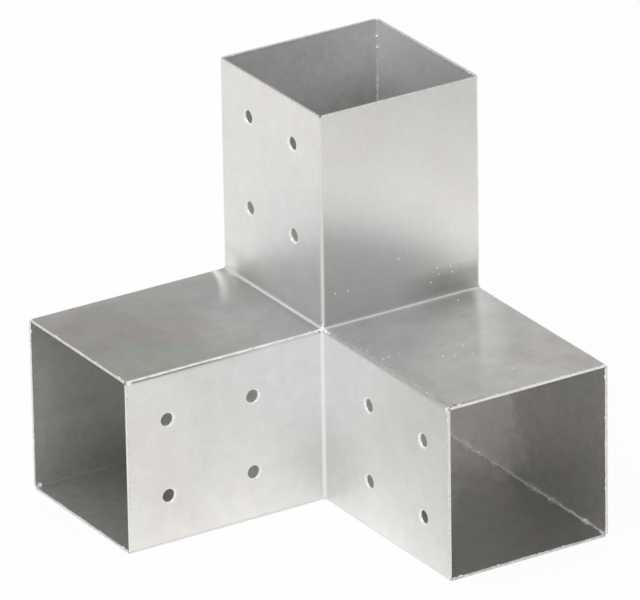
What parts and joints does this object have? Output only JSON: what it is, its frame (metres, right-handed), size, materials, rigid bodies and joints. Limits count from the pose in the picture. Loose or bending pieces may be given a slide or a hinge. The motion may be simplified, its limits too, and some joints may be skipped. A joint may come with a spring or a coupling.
{
  "type": "y-shaped post connector",
  "caption": "Corner connector of welded galvanised sheet: square sleeves at right angles to each other take the ends of timber posts, with bolt holes through their inner walls.",
  "frame": {"origin": "on the flat underside, on the axis of the upright sleeve", "axes": "+X along the left sleeve, +Y along the right sleeve, +Z along the upright sleeve, all towards their mouths"},
  "size_m": [0.231, 0.231, 0.231],
  "materials": {
    "galvanised_sheet": "satin hot-dip zinc, faintly clouded",
    "weld_metal": "dressed weld, brighter than the sheet"
  },
  "bodies": {
    "root": {"front_angle": "galvanised_sheet", "left_top_angle": "galvanised_sheet", "right_top_angle": "galvanised_sheet", "base_plate": "galvanised_sheet", "left_back_plate": "galvanised_sheet", "right_back_plate": "galvanised_sheet", "base_front_weld": "weld_metal", "left_back_weld": "weld_metal", "right_back_weld": "weld_metal", "left_top_weld": "weld_metal", "right_top_weld": "weld_metal", "upright_front_weld": "weld_metal", "base_left_weld": "weld_metal", "base_right_weld": "weld_metal", "upright_rear_weld": "weld_metal", "base_left_fillet": "weld_metal", "base_right_fillet": "weld_metal", "upright_rear_fillet": "weld_metal", "junction_weld": "weld_metal"}
  },
  "joints": []
}
